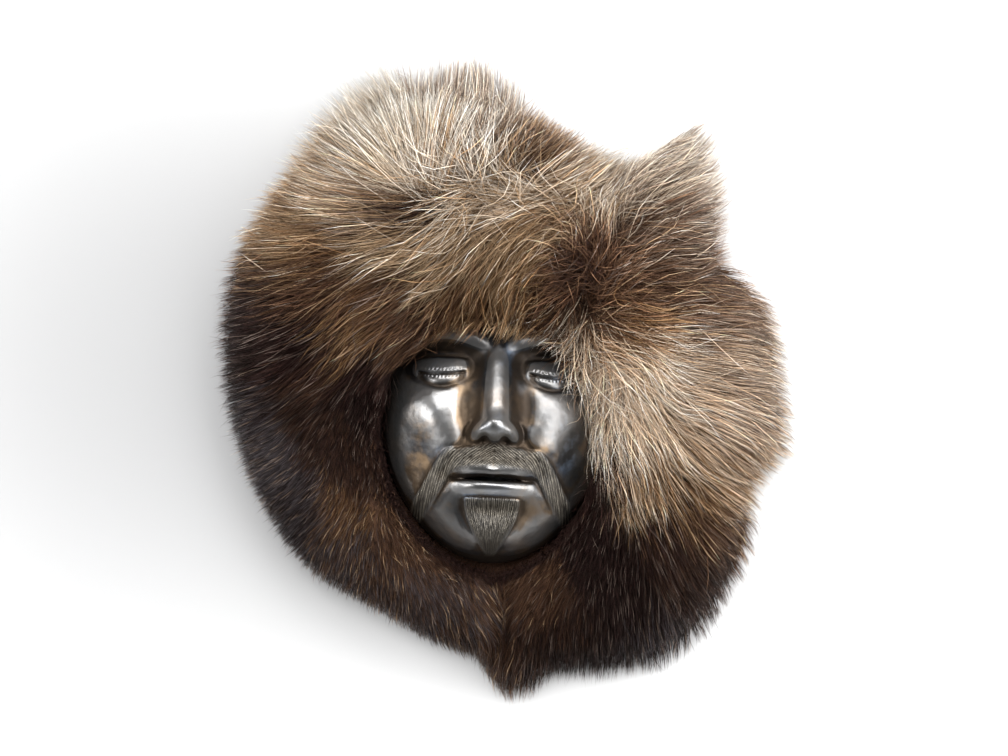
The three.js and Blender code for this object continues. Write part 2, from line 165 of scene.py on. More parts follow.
# How the hair is combed, as (x, y, heading in degrees, length, main tone, second tone, ruffled)
COMBING = (
    (-43, 118, 90, 66, "IVORY", "SAND", 0),
    (-29, 129, 85, 64, "IVORY", "SAND", 0),
    (-15, 140, 86, 62, "IVORY", "TAUPE", 0),
    (-18, 160, 84, 60, "TAUPE", "CREAM", 0),
    (-60, 129, 112, 62, "CREAM", "IVORY", 0),
    (-76, 129, 130, 58, "CREAM", "CREAM", 0),
    (-93, 118, 148, 54, "CREAM", "SAND", 0),
    (-110, 106, 162, 50, "SAND", "PEACH", 0),
    (-127, 95, 172, 46, "SAND", "GOLDEN", 0),
    (-141, 78, 183, 42, "GOLDEN", "SAND", 0),
    (-82, 92, 176, 50, "SAND", "TAUPE", 0),
    (-64, 88, 180, 44, "UMBER", "SABLE", 0),
    (-116, 73, 188, 46, "UMBER", "GOLDEN", 0.05),
    (-146, 56, 190, 36, "UMBER", "SABLE", 0),
    (-152, 34, 193, 32, "SABLE", "SABLE", 0),
    (-116, 45, 203, 42, "RUST", "UMBER", 0.05),
    (-71, 70, 200, 50, "SAND", "SAND", 0.2),
    (-43, 81, 207, 50, "SAND", "CREAM", 0.2),
    (-20, 95, 215, 50, "SAND", "CREAM", 0.35),
    (-93, 22, 228, 40, "GOLDEN", "RUST", 0.2),
    (-116, 17, 205, 30, "SABLE", "SABLE", 0),
    (-43, 53, 213, 46, "SAND", "SAND", 0.2),
    (-15, 67, 225, 46, "SAND", "SAND", 0.2),
    (2, 45, 250, 36, "GOLDEN", "SAND", 0.2),
    (-29, 36, 238, 32, "UMBER", "GOLDEN", 0.2),
    (8, 78, 228, 46, "SAND", "GOLDEN", 0.28),
    (-71, 39, 210, 44, "UMBER", "RUST", 0.2),
    (-62, 20, 218, 26, "RUST", "UMBER", 0),
    (-1, 123, 88, 60, "IVORY", "SAND", 0.35),
    (-4, 104, 150, 44, "SAND", "CREAM", 0.5),
    (13, 129, 60, 54, "UMBER", "SAND", 0.1),
    (30, 129, 62, 46, "UMBER", "GOLDEN", 0),
    (22, 109, 20, 44, "CREAM", "SAND", 0.25),
    (47, 118, 28, 50, "CREAM", "SAND", 0.05),
    (52, 106, 32, 46, "CREAM", "SAND", 0.1),
    (75, 109, 31, 58, "CREAM", "TAUPE", 0),
    (97, 120, 38, 52, "CREAM", "TAUPE", 0),
    (108, 129, 50, 44, "CREAM", "TAUPE", 0),
    (117, 104, 38, 42, "TAUPE", "CREAM", 0),
    (108, 92, 30, 48, "TAUPE", "UMBER", 0),
    (86, 90, 28, 52, "UMBER", "TAUPE", 0),
    (108, 76, 18, 44, "UMBER", "TAUPE", 0),
    (75, 73, 28, 44, "UMBER", "TAUPE", 0.3),
    (30, 92, 195, 34, "SAND", "UMBER", 0.5),
    (47, 78, 100, 22, "RUST", "UMBER", 0.9),
    (36, 64, 160, 22, "RUST", "SABLE", 0.9),
    (52, 53, 60, 24, "RUST", "UMBER", 0.8),
    (64, 62, 30, 34, "UMBER", "RUST", 0.5),
    (22, 45, 205, 30, "RUST", "UMBER", 0.5),
    (52, 34, 5, 36, "UMBER", "RUST", 0.5),
    (86, 53, 5, 48, "UMBER", "RUST", 0),
    (120, 50, -16, 44, "UMBER", "RUST", 0),
    (80, 34, 4, 48, "UMBER", "GOLDEN", 0.1),
    (120, 28, -6, 46, "UMBER", "TAUPE", 0),
    (142, 34, -24, 38, "UMBER", "TAUPE", 0),
    (41, 20, 220, 28, "CREAM", "UMBER", 0.8),
    (58, 14, -6, 44, "PEACH", "GOLDEN", 0.4),
    (97, 11, -4, 50, "CREAM", "PEACH", 0),
    (108, -8, -12, 50, "PEACH", "CREAM", 0),
    (131, 3, -14, 44, "PEACH", "TAUPE", 0),
    (150, -11, -28, 34, "TAUPE", "PEACH", 0),
    (150, 17, -30, 34, "TAUPE", "PEACH", 0),
    (64, -6, -62, 44, "BLONDE", "CREAM", 0.2),
    (54, -8, -100, 34, "BLONDE", "CREAM", 0.3),
    (53, -28, -95, 34, "BLONDE", "CREAM", 0.3),
    (80, -11, -46, 52, "BLONDE", "PEACH", 0),
    (103, -22, -33, 50, "PEACH", "CREAM", 0),
    (131, -34, -30, 42, "PEACH", "TAUPE", 0),
    (61, -28, -84, 42, "BLONDE", "CREAM", 0.1),
    (78, -39, -62, 46, "BLONDE", "BLONDE", 0),
    (103, -50, -46, 44, "BLONDE", "GOLDEN", 0),
    (131, -62, -40, 36, "GOLDEN", "PEACH", 0),
    (66, -50, -80, 30, "BLONDE", "GOLDEN", 0.1),
    (83, -67, -68, 30, "GOLDEN", "PEACH", 0),
    (108, -73, -55, 36, "GOLDEN", "RUST", 0),
    (56, -56, -95, 10, "SABLE", "SABLE", 0),
    (120, -90, -55, 32, "UMBER", "RUST", 0),
    (92, -90, -70, 20, "SABLE", "RUST", 0),
    (108, -118, -65, 28, "SABLE", "RUST", 0),
    (52, -101, 255, 10, "SABLE", "SABLE", 0),
    (64, -134, -92, 11, "SABLE", "SABLE", 0),
    (36, -146, -97, 12, "SABLE", "RUST", 0),
    (13, -123, 238, 10, "RUST", "UMBER", 0),
    (5, -157, 255, 24, "RUST", "SABLE", 0),
    (47, -168, -95, 26, "SABLE", "SABLE", 0),
    (86, -151, -82, 28, "SABLE", "SMOKE", 0),
    (-18, -134, 300, 14, "UMBER", "SMOKE", 0),
    (-12, -168, 288, 22, "UMBER", "RUST", 0),
    (-37, -123, 297, 10, "SMOKE", "RUST", 0),
    (-32, -101, 300, 9, "RUST", "UMBER", 0),
    (-60, -120, 285, 9, "UMBER", "SMOKE", 0),
    (-88, -98, 262, 9, "SMOKE", "UMBER", 0),
    (-90, -76, 238, 12, "GOLDEN", "RUST", 0),
    (-60, -92, 285, 9, "UMBER", "RUST", 0),
    (-116, -73, 225, 10, "SMOKE", "SABLE", 0),
    (-137, -45, 212, 11, "SMOKE", "SMOKE", 0),
    (-146, -20, 206, 18, "SMOKE", "SABLE", 0),
    (-154, 8, 198, 24, "SABLE", "SABLE", 0),
    (-104, -34, 248, 8, "SABLE", "RUST", 0),
    (-82, -56, 265, 8, "SABLE", "RUST", 0),
    (-79, -11, 240, 10, "SABLE", "SABLE", 0),
    (-116, -11, 215, 16, "SABLE", "RUST", 0),
)

# Where long hairs spring from one place, as (x, y, spread, first heading, last heading, hairs,
# length, curl, how far they may hang over the face, how far they may stand past the outline)
SPRAYS = (
    (-43, 97, 4, 50, 196, 700, 76, 0.06, 1, 0.09),
    (-22, 112, 13, -20, 230, 260, 34, 0.15, 1, 0.09),
    (47, 60, 10, 0, 360, 420, 26, 0.2, 1, 0.09),
    (52, 30, 9, -95, -8, 450, 50, 0.08, 0.95, 0.09),
    (70, 92, 10, 15, 60, 300, 60, 0.06, 1, 0.07),
    (20, 108, 12, 5, 50, 260, 52, 0.1, 1, 0.09),
    (-26, 138, 9, 76, 100, 90, 70, 0.05, 1, 0.12),
    (-20, 155, 8, 78, 98, 110, 44, 0.06, 1, 0.15),
    (60, 6, 13, 150, 250, 90, 30, 0.8, 0.78, 0.09),
    (62, -42, 6, -115, -80, 26, 50, 0.3, 1, 0.09),
    (60, -10, 7, -110, -60, 260, 44, 0.1, 0.95, 0.09),
)

# The skin
LIP_INSET = 0.03            # share of the way across by which it stops short of the fur's lip
SECTION_POINTS = 40
RING_POINTS = 360
SECTION_TOP = 0.64          # share of the section's points on the top of the roll

# The ground that the hair lies along
FIELD_HALF = 232.0
GROUND_STEP = 1.0
COMB_STEP = 2.0
COMB_SPREAD = 9.0
TONE_SPREAD = 9.0
DROOP = 0.7                 # share of the edge's height lost one inset past the edge

# The hair
LONG_HAIRS = 24500
CURLED_HAIRS = 1500
SHORT_HAIRS = 27500
EDGE_HAIRS = 6000
LONG_RADIUS = 0.20
CURLED_RADIUS = 0.19
SHORT_RADIUS = 0.15
PATH_STEPS = 9
LOCKS = 700
TUFTS = 7500
LUCK = 997                  # how many different lucky numbers the tufts share
LEAST_LEFT = 0.12           # share of a hair that is always left
STRAY_SHARE = 0.045
UNDERCOAT_SHARE = 0.25
TUFT_TONE_SHARE = 0.25
SHOWING_STEP = 6            # the step of a path near which a hair shows
SPRAY_SHOWING_STEP = 5
SPRAY_POINTS = 6
MAIN_TONE_SHARE = 0.58
FLECK_SHARE = 0.14
LIP_WIDTH = 0.03            # share of the way across in which short fur is thicker
LIP_EXTRA = 5
# Short fur this near the opening is painted dark, as shade on the lip
LIP_SHADE_REACH = 1.07      # as a multiple of the opening, within which short fur is dark
SHORT_LENGTH = 20.0
LEAST_EDGE_LENGTH = 24.0
LEAST_HEIGHT = 0.5
SEED = 11

# Camera and floor, in metres, and the lens in millimetres
CAMERA_PLACE = (0.0014, 0.0049, 1.53)
CAMERA_LENS = 95.7
SENSOR_WIDTH = 36
FLOOR_RADIUS = 0.95
# The floor's colour holds a painted shadow, darkest at this point left of the mask
FLOOR_PAINTED_SHADOW = (-0.20, 0.04, 0.0)   # where the floor is darkest


def smooth(x, low, high):
    """0 below low and 1 above high, with a soft step between."""
    t = np.clip((x - low) / (high - low), 0, 1)
    return t * t * (3 - 2 * t)


def ridge(distance, half_width):
    return np.exp(-(distance / half_width) ** 2)


def between(x, low, high, fade):
    return smooth(x, low - fade, low) * (1 - smooth(x, high, high + fade))


def mass(u, v, row):
    beside, above, spread_u, spread_v, height = row
    return height * np.exp(-((np.abs(u) - beside) / spread_u) ** 2 - ((v - above) / spread_v) ** 2)


def around(rows, degrees, column=1):
    """A smooth closed curve through rows of (degrees, value, ...)."""
    table = np.array(rows, float)
    turn = np.mod(degrees, 360)
    index = np.searchsorted(table[:, 0], turn, side="right") - 1

    def knot(step):
        k = index + step
        row = table[np.mod(k, len(table))]
        return row[..., 0] + 360 * np.floor_divide(k, len(table)), row[..., column]

    (a0, before), (a1, start), (a2, end), (a3, after) = knot(-1), knot(0), knot(1), knot(2)
    span = a2 - a1
    t = (turn - a1) / span
    start_slope = (end - before) / (a2 - a0) * span
    end_slope = (after - start) / (a3 - a1) * span
    return ((2 * t**3 - 3 * t**2 + 1) * start + (t**3 - 2 * t**2 + t) * start_slope
            + (3 * t**2 - 2 * t**3) * end + (t**3 - t**2) * end_slope)


# Pottery face

RECESS_REACH = [(reach * math.cos(turn), reach * math.sin(turn)) for reach in (2.5, 5.5)
                for turn in np.linspace(0, 2 * math.pi, 8, endpoint=False)]

EGG_MIDDLE = (FACE_TOP + FACE_FOOT) / 2
EGG_HALF = (FACE_TOP - FACE_FOOT) / 2


def egg_width(v):
    return FACE_HALF_WIDTH * (1 + JAW_TAPER * (v - EGG_MIDDLE) / EGG_HALF)


def egg_radius(u, v):
    return np.hypot(u / egg_width(v), (v - EGG_MIDDLE) / EGG_HALF)


def egg_depth(out):
    return FACE_DOME * np.sqrt(1 - RIM_STEP * np.minimum(out, 1) ** 2.5)


RIM_DEPTH = float(egg_depth(1.0))


def nose(u, v):
    side = np.abs(u)
    down = np.clip((52 - v) / 43, 0, 1)
    underside = 1 - np.clip((10 - v) / 13, 0, 1) ** 2.4
    height = (3 + 14 * down**1.1) * underside * (1 - smooth(v, 44, 60))
    bridge = height * np.exp(-((side / (5.5 + 4 * down)) ** 2.8))
    wing = mass(u, v, (9.8, 4.6, 3.9, 4.6, 6)) * smooth(v, -4, 2.5)
    fold = 1.1 * ridge(np.hypot((side - 9.5) / 6.6, (v - 4.5) / 7.4) - 1, 0.17) * smooth(side, 11, 14)
    return bridge + wing - fold


def lid_line(side):
    return 41 - 2.6 * (1 - ((side - LID_MIDDLE) / LID_HALF) ** 2)


def brow_line(side):
    return FACE_THIRD - 3.5 + 7 * np.sin(np.pi * np.clip((side - 6) / 56, 0, 1)) ** 1.1


def eye(u, v):
    """Brow ridge, and a closed and rounded lid with its slit, in the hollow of the socket."""
    side = np.abs(u)
    off = side - LID_MIDDLE
    under = lid_line(side) - v
    brow = 5.2 * ridge(v - brow_line(side), 5) * between(side, 15, 40, 13)
    almond = np.clip(1 - (off / 18.5) ** 2 - ((v - 43) / 12) ** 2, 0, 1)
    along = between(side, 19.5, 42.5, 3)
    slit = 2.0 * ridge(under, 0.85) * along
    lower_lid = 1.2 * smooth(under, 0, 0.8) * (1 - smooth(under, 1.5, 7)) * along
    crease = 1.3 * ridge(under + 11 - 0.014 * off**2, 1.3) * between(side, 20, 42, 6)
    bag = 0.8 * ridge(under - 7 + 0.03 * off**2, 1.8) * between(side, 21, 41, 5)
    return brow + 9 * almond**1.35 - slit - lower_lid - crease - bag


def lips(u, v):
    side = np.abs(u)
    above = v - MOUTH_LINE - 0.0012 * side**2
    bow = 0.6 * ridge(side, 3)
    upper = 4.8 * smooth(26 - side, 0, 14) * ridge(above - 4.4 + bow, 3.2)
    lower = 5.6 * smooth(24 - side, 0, 15) * ridge(above + 5.4, 4.2)
    groove = 3.8 * smooth(28 - side, 0, 9) * ridge(above, 1.6)
    return upper + lower - groove


def laugh_fold(u, v):
    side = np.abs(u)
    return -1.7 * ridge(side - 12.5 - 0.62 * (8 - v), 3.4) * between(v, -14, 6, 8)


def strokes(across, along, pitch):
    """Short cut strokes in rows: 0 between them and 1 at the bottom of each."""
    wander = 0.22 * np.sin(along * 0.9 + 2.1 * np.sin(across * 0.8))
    breaks = 0.72 + 0.28 * np.sin(along * 0.8 + 2.6 * np.floor(across / pitch + wander))
    return breaks * (0.5 - 0.5 * np.cos(2 * np.pi * (across / pitch + wander))) ** 1.4


def moustache_line(side):
    return -7.6 - 28.4 * smooth(side, 20, 50) - 0.1 * side


def moustache_strip(u, v):
    """A thick strip that runs out over the lip and down past the mouth's corners."""
    side = np.abs(u)
    slope = moustache_line(side + 0.5) - moustache_line(side - 0.5)
    away = (v - moustache_line(side)) / np.hypot(1, slope)
    width = 7 - 1.6 * smooth(side, 24, 46)
    strip = (1 - smooth(np.abs(away), width * 0.62, width * 1.05)) * between(side, 1.0, 42, 5)
    return strip, away, side


def chin_shield(u, v):
    """A shield of beard under the lower lip that narrows to a point at the chin."""
    half = 15 * smooth(v, -63, -33) ** 0.65
    return between(v, -57, -31.5, 2.0) * (1 - smooth(np.abs(u), half - 1.2, half + 1.2))


def stroke_map(u, v):
    """Where hair is cut into the face, and the distances across and along its strokes."""
    strip, away, side = moustache_strip(u, v)
    shield = chin_shield(u, v)
    lean = away + 0.55 * side - 0.02 * away * side
    fanned = u / (0.4 + 0.6 * smooth(v, -64, -28))
    on_chin = shield > strip
    return (np.clip(strip + shield, 0, 1), np.where(on_chin, fanned + 90, lean),
            np.where(on_chin, v, side - away))


def beard(u, v):
    strip, across, along = stroke_map(u, v)
    return strip * (2.7 - 0.75 * strokes(across, along, 1.5))


def brow_hair(u, v):
    side = np.abs(u)
    away = v - brow_line(side)
    strip = (1 - smooth(np.abs(away - 0.5), 2.5, 5)) * between(side, 14, 44, 5)
    return -0.5 * strip * strokes(side - 0.75 * away, away, 1.7)


def lid_pricks(u, v):
    """A row of pricked dots above and below each closed eye."""
    side = np.abs(u)
    along = smooth(np.cos(np.pi * (side - LID_MIDDLE) / 2.1) ** 2, 0.35, 0.9)
    rows = sum(ridge(v - lid_line(side) - offset, 0.55) for offset in (2.1, -1.9))
    return -0.8 * rows * along * between(side, 20, 42, 1)


def masses(u, v):
    return sum(mass(u, v, row) for row in MASSES.values())


def face_depth(u, v):
    out = egg_radius(u, v)
    features = masses(u, v) + nose(u, v) + eye(u, v) + lips(u, v) + laugh_fold(u, v)
    cut = beard(u, v) + brow_hair(u, v) + lid_pricks(u, v)
    return egg_depth(out) + (1 - smooth(out, 0.86, 1)) * (features + cut)


def hollow_depth(u, v):
    out = egg_radius(u, v)
    return egg_depth(out) + (1 - smooth(out, 0.7, 0.95)) * masses(u, v) - WALL


def place_face(u, v, depth):
    """From the face's own frame to the drawing, tilted back and leaning."""
    y = v * math.cos(TILT_BACK) + depth * math.sin(TILT_BACK)
    z = depth * math.cos(TILT_BACK) - v * math.sin(TILT_BACK)
    x = u * math.cos(LEAN) - y * math.sin(LEAN) + NOSE_BASE[0]
    y = u * math.sin(LEAN) + y * math.cos(LEAN) + NOSE_BASE[1]
    return np.stack(np.broadcast_arrays(x, y, z + FACE_LIFT), -1)


def face_place(points):
    """From the drawing back to the face's own u and v."""
    x, y, z = points[:, 0] - NOSE_BASE[0], points[:, 1] - NOSE_BASE[1], points[:, 2] - FACE_LIFT
    u = x * math.cos(LEAN) + y * math.sin(LEAN)
    y = y * math.cos(LEAN) - x * math.sin(LEAN)
    return u, y * math.cos(TILT_BACK) - z * math.sin(TILT_BACK)


def egg_map(x, y):
    """A square from -1 to 1 spread over the egg, with its cells closer together in the middle."""
    x = x * (0.78 + 0.22 * x * x)
    y = y * (0.78 + 0.22 * y * y)
    v = EGG_MIDDLE + EGG_HALF * y * np.sqrt(1 - x * x / 2)
    return egg_width(v) * x * np.sqrt(1 - y * y / 2), v


# Meshes

def corners(mesh):
    flat = np.empty(len(mesh.vertices) * 3, np.float32)
    mesh.vertices.foreach_get("co", flat)
    return flat.reshape(-1, 3).astype(float)


def set_corners(mesh, points):
    """Places a mesh's corners, given in the drawing's millimetres."""
    mesh.vertices.foreach_set("co", ((points + SHIFT) * MM).astype(np.float32).ravel())
    mesh.update()


def new_piece(name, mesh, is_smooth=True):
    piece = bpy.data.objects.new(name, mesh)
    bpy.context.scene.collection.objects.link(piece)
    mesh.polygons.foreach_set("use_smooth", np.full(len(mesh.polygons), is_smooth))
    return piece


def mesh_from(bm, name):
    mesh = bpy.data.meshes.new(name)
    bm.to_mesh(mesh)
    bm.free()
    return mesh


def face_block(name, cells, depth, grow, floor):
    """A closed block under a surface of the face: a grid whose border runs down to a floor."""
    bm = bmesh.new()
    bmesh.ops.create_grid(bm, x_segments=cells[0], y_segments=cells[1], size=1)
    border = [edge for edge in bm.edges if edge.is_boundary]
    skirt = bmesh.ops.extrude_edge_only(bm, edges=border)["geom"]
    bmesh.ops.translate(bm, vec=(0, 0, -1), verts=[g for g in skirt if isinstance(g, bmesh.types.BMVert)])
    lower = [edge for edge in bm.edges if edge.is_boundary]
    bmesh.ops.contextual_create(bm, geom=lower)
    bmesh.ops.recalc_face_normals(bm, faces=bm.faces)
    mesh = mesh_from(bm, name)
    square = corners(mesh)
    u, v = egg_map(square[:, 0], square[:, 1])
    grown_u = u * (1 + grow / FACE_HALF_WIDTH)
    grown_v = v + grow * (v - EGG_MIDDLE) / EGG_HALF
    top = square[:, 2] > -0.5
    points = place_face(grown_u, grown_v, np.where(top, depth(u, v), RIM_DEPTH))
    points[~top, 2] = floor
    set_corners(mesh, points)
    return new_piece(name, mesh)


def mouth_slit():
    """A lens-shaped bar that goes right through the wall."""
    bm = bmesh.new()
    bmesh.ops.create_circle(bm, cap_ends=True, segments=48, radius=1)
    bottom = list(bm.faces)
    top = bmesh.ops.extrude_face_region(bm, geom=bottom)["geom"]
    bmesh.ops.translate(bm, vec=(0, 0, 1), verts=[g for g in top if isinstance(g, bmesh.types.BMVert)])
    bmesh.ops.recalc_face_normals(bm, faces=bm.faces)
    mesh = mesh_from(bm, "mouth_slit")
    ring = corners(mesh)
    u = ring[:, 0] * MOUTH_HALF
    half = MOUTH_GAP / 2 * (1 - ring[:, 0] ** 2)
    set_corners(mesh, place_face(u, MOUTH_LINE + np.sign(ring[:, 1]) * half, ring[:, 2] * FACE_DOME * 2))
    return new_piece("mouth_slit", mesh)


def cut_away(piece, tool):
    """Cuts one closed mesh out of another and removes the tool."""
    cutter = piece.modifiers.new("cut", "BOOLEAN")
    cutter.object = tool
    cutter.operation = "DIFFERENCE"
    cutter.solver = "EXACT"
    depsgraph = bpy.context.evaluated_depsgraph_get()
    mesh = bpy.data.meshes.new_from_object(piece.evaluated_get(depsgraph))
    piece.modifiers.clear()
    piece.data = mesh
    bpy.data.objects.remove(tool)
    return piece


def pottery_face():
    face = face_block("lustre_face", FACE_CELLS, face_depth, 0, 0)
    cut_away(face, face_block("hollow", HOLLOW_CELLS, hollow_depth, -WALL, -WALL))
    cut_away(face, mouth_slit())
    u, v = face_place(corners(face.data) / MM - SHIFT)
    strip, across, along = stroke_map(u, v)
    recess = sum(face_depth(u + beside, v + above) for beside, above in RECESS_REACH) / len(RECESS_REACH)
    recess = np.clip(0.5 + 0.55 * (recess - face_depth(u, v)), 0, 1)
    for name, values in (("stroked", strip), ("stroke_across", across), ("stroke_along", along),
                         ("recess", recess)):
        attribute = face.data.attributes.new(name, "FLOAT", "POINT")
        attribute.data.foreach_set("value", values.astype(np.float32))
    return face


# Ruff

def ring_plan(degrees, across, reach=0.0):
    """Seen from above, a point at a turn round the ring and a place across it."""
    turn = np.radians(degrees)
    direction = np.stack([np.cos(turn), np.sin(turn)], -1)
    inner = direction * around(OPENING, degrees)[..., None] + OPENING_MIDDLE
    outer = direction * (around(OUTLINE, degrees) + reach)[..., None]
    return inner + (outer - inner) * across[..., None]


def ring_height(degrees, across):
    lip, crest, crest_place, edge = (around(ROLL, degrees, column) for column in (1, 2, 3, 4))
    rise = lip + (crest - lip) * np.sin(np.clip(across / crest_place, 0, 1) * np.pi / 2) ** 0.8
    fall = np.clip((across - crest_place) / (1 - crest_place), 0, 1)
    return np.where(across < crest_place, rise, edge + (crest - edge) * np.sqrt(1 - fall**2.2))


def folds(plan):
    """Height that the folds add at points of the plan."""
    added = 0
    for x, y, heading, half_length, half_width, height in FOLDS:
        turn = math.radians(heading)
        beside = (plan[..., 0] - x) * math.sin(turn) - (plan[..., 1] - y) * math.cos(turn)
        along = (plan[..., 0] - x) * math.cos(turn) + (plan[..., 1] - y) * math.sin(turn)
        added = added + height * ridge(beside, half_width) * ridge(along, half_length)
    return added


def hide_top(degrees, across):
    """The skin that the hair grows from: the roll, less the depth of the coat."""
    inset = around(COAT, degrees, 1)
    depth = around(COAT, degrees, 2) * smooth(across, -0.2, 0.3)
    across_plan = LIP_INSET + (1 - LIP_INSET) * across
    plan = ring_plan(degrees, across_plan, -inset)
    height = ring_height(degrees, across) - depth + folds(plan) * between(across, 0.15, 0.85, 0.12)
    return np.concatenate([plan, height[..., None]], -1)


def wall_point(degrees, down):
    """The hide's outer side, from its top edge to where it turns under."""
    top = hide_top(degrees, np.ones_like(degrees))
    turn = np.radians(degrees)
    radius = around(OUTLINE, degrees) - np.maximum(around(COAT, degrees, 1), HIDE_INSET)
    foot = np.stack([radius * np.cos(turn), radius * np.sin(turn), np.zeros_like(turn)], -1)
    return top + (foot - top) * down[..., None]


def rim_point(angle, inset):
    """A point of the pottery's rim seen from above, moved in by inset."""
    v = EGG_MIDDLE + EGG_HALF * np.sin(angle)
    outward = place_face(egg_width(v) * np.cos(angle), v, RIM_DEPTH) - RIM_MIDDLE
    length = np.linalg.norm(outward, axis=-1, keepdims=True)
    return RIM_MIDDLE + outward * (1 - inset / length)


RIM_MIDDLE = place_face(0.0, EGG_MIDDLE, RIM_DEPTH)


def ruff_hide():
    """The hide with its underfur: a circle spun into a ring, whose section becomes the roll."""
    bm = bmesh.new()
    bmesh.ops.create_circle(bm, segments=SECTION_POINTS, radius=1)
    bmesh.ops.rotate(bm, verts=bm.verts, matrix=Matrix.Rotation(math.pi / 2, 3, "X"))
    bmesh.ops.translate(bm, verts=bm.verts, vec=(3, 0, 0))
    bmesh.ops.spin(bm, geom=list(bm.verts) + list(bm.edges), cent=(0, 0, 0), axis=(0, 0, 1),
                   angle=2 * math.pi, steps=RING_POINTS, use_merge=True)
    mesh = mesh_from(bm, "hide")
    ring = corners(mesh)
    degrees = np.degrees(np.arctan2(ring[:, 1], ring[:, 0])) % 360
    section = np.arctan2(ring[:, 2], np.hypot(ring[:, 0], ring[:, 1]) - 3) / (2 * math.pi) % 1
    section[section > 1 - 1e-4] = 0
    across = np.clip(1 - section / SECTION_TOP, 0, 1)
    points = hide_top(degrees, across)
    lip = hide_top(degrees, np.zeros_like(degrees))
    rim = rim_point(np.arctan2(lip[:, 1] - RIM_MIDDLE[1], lip[:, 0] - RIM_MIDDLE[0]), 2 * FUR_GAP)
    half_down = rim * (1, 1, 0) + lip * (0, 0, 0.5)
    inner_foot = rim * (1, 1, 0)
    outer_foot = wall_point(degrees, np.ones_like(degrees))
    edge = hide_top(degrees, np.ones_like(degrees))
    stops = (SECTION_TOP, 0.7, 0.76, 0.93, 1.0)
    keys = (lip, half_down, inner_foot, outer_foot, edge)
    for low, high, start, end in zip(stops, stops[1:], keys, keys[1:]):
        here = section > low
        share = np.clip((section - low) / (high - low), 0, 1)[:, None]
        points = np.where(here[:, None], start + (end - start) * share, points)
    set_corners(mesh, points)
    bm = bmesh.new()
    bm.from_mesh(mesh)
    bmesh.ops.recalc_face_normals(bm, faces=bm.faces)
    bm.to_mesh(mesh)
    bm.free()
    piece = new_piece("hide", mesh)

    def room(u, v):
        return face_depth(u, v) + FUR_GAP

    cut_away(piece, face_block("room", HOLLOW_CELLS, room, FUR_GAP, -WALL))
    place = corners(piece.data) / MM - SHIFT
    shade = coat_shade(place[:, 0], place[:, 1])
    shade = np.append(shade, np.ones((len(shade), 1)), 1)
    attribute = piece.data.attributes.new("underfur", "FLOAT_COLOR", "POINT")
    attribute.data.foreach_set("color", shade.astype(np.float32).ravel())
    return piece


# Hair

class Field:
    """Values on a square grid seen from above, read between its points."""

    def __init__(self, values, step):
        self.values = values
        self.step = step

    def at(self, x, y):
        last = len(self.values) - 1.001
        column = np.clip((x + FIELD_HALF) / self.step, 0, last)
        row = np.clip((y + FIELD_HALF) / self.step, 0, last)
        c, r = column.astype(int), row.astype(int)
        s, t = column - c, row - r
        values = self.values
        low = values[r, c] * (1 - s) + values[r, c + 1] * s
        high = values[r + 1, c] * (1 - s) + values[r + 1, c + 1] * s
        return low * (1 - t) + high * t


def soften(values, times):
    for _ in range(times):
        values = (values + np.roll(values, 1, 0) + np.roll(values, -1, 0)) / 3
        values = (values + np.roll(values, 1, 1) + np.roll(values, -1, 1)) / 3
    return values


def ground_field():
    """Heights that the hair lies along: the hide, its droop past the edge, and the face."""
    degrees, across = np.meshgrid(np.arange(0, 360, 0.25), np.linspace(0, 1, 240), indexing="ij")
    top = hide_top(degrees, across).reshape(-1, 3)
    degrees, past = np.meshgrid(np.arange(0, 360, 0.25), np.linspace(0, 1.8, 90), indexing="ij")
    edge = hide_top(degrees, np.ones_like(degrees))
    inset = around(COAT, degrees, 1)
    away = np.stack([np.cos(np.radians(degrees)), np.sin(np.radians(degrees))], -1)
    droop = np.concatenate([edge[..., :2] + away * (inset * past)[..., None],
                            (edge[..., 2] * np.clip(1 - DROOP * past**1.4, 0, 1))[..., None]], -1)
    u, v = np.meshgrid(np.linspace(-70, 70, 240), np.linspace(FACE_FOOT, FACE_TOP, 260))
    face = place_face(u, v, egg_depth(egg_radius(u, v)) + 5)[egg_radius(u, v) < 1]
    samples = np.concatenate([top, droop.reshape(-1, 3), face])
    side = int(2 * FIELD_HALF / GROUND_STEP) + 1
    heights = np.full((side, side), -1.0)
    cell = np.clip(np.rint((samples[:, :2] + FIELD_HALF) / GROUND_STEP).astype(int), 0, side - 1)
    np.maximum.at(heights, (cell[:, 1], cell[:, 0]), samples[:, 2])
    for _ in range(4):
        gap = heights < 0
        heights[gap] = soften(np.maximum(heights, 0), 1)[gap] * 1.2
    return soften(heights, 3)


def comb_weights(x, y, spread):
    """How much each combing row counts at each point."""
    table = np.array([row[:2] for row in COMBING], float)
    distance = (x[..., None] - table[:, 0]) ** 2 + (y[..., None] - table[:, 1]) ** 2
    weights = np.exp(-distance / (2 * spread**2)) + 1e-9 / (1 + distance)
    return weights / weights.sum(-1, keepdims=True)


def comb_fields():
    """The heading, length and ruffling of the hair, everywhere."""
    line = np.arange(-FIELD_HALF, FIELD_HALF + 1, COMB_STEP)
    x, y = np.meshgrid(line, line)
    weights = comb_weights(x, y, COMB_SPREAD)
    heading = np.radians([row[2] for row in COMBING])
    columns = (np.cos(heading), np.sin(heading), np.array([row[3] for row in COMBING], float),
               np.array([row[6] for row in COMBING], float))
    return [Field(weights @ column, COMB_STEP) for column in columns]


def coat_shade(x, y):
    """Colour of the underfur, from the tones combed in nearby: the roots' dark colour, partly painted shade
    deep in the coat.
    """
    shades = [np.mean([TONES[tone][layer] for tone in row[4:6] for layer in (0, 1)], 0) for row in COMBING]
    return comb_weights(x, y, TONE_SPREAD) @ np.array(shades)


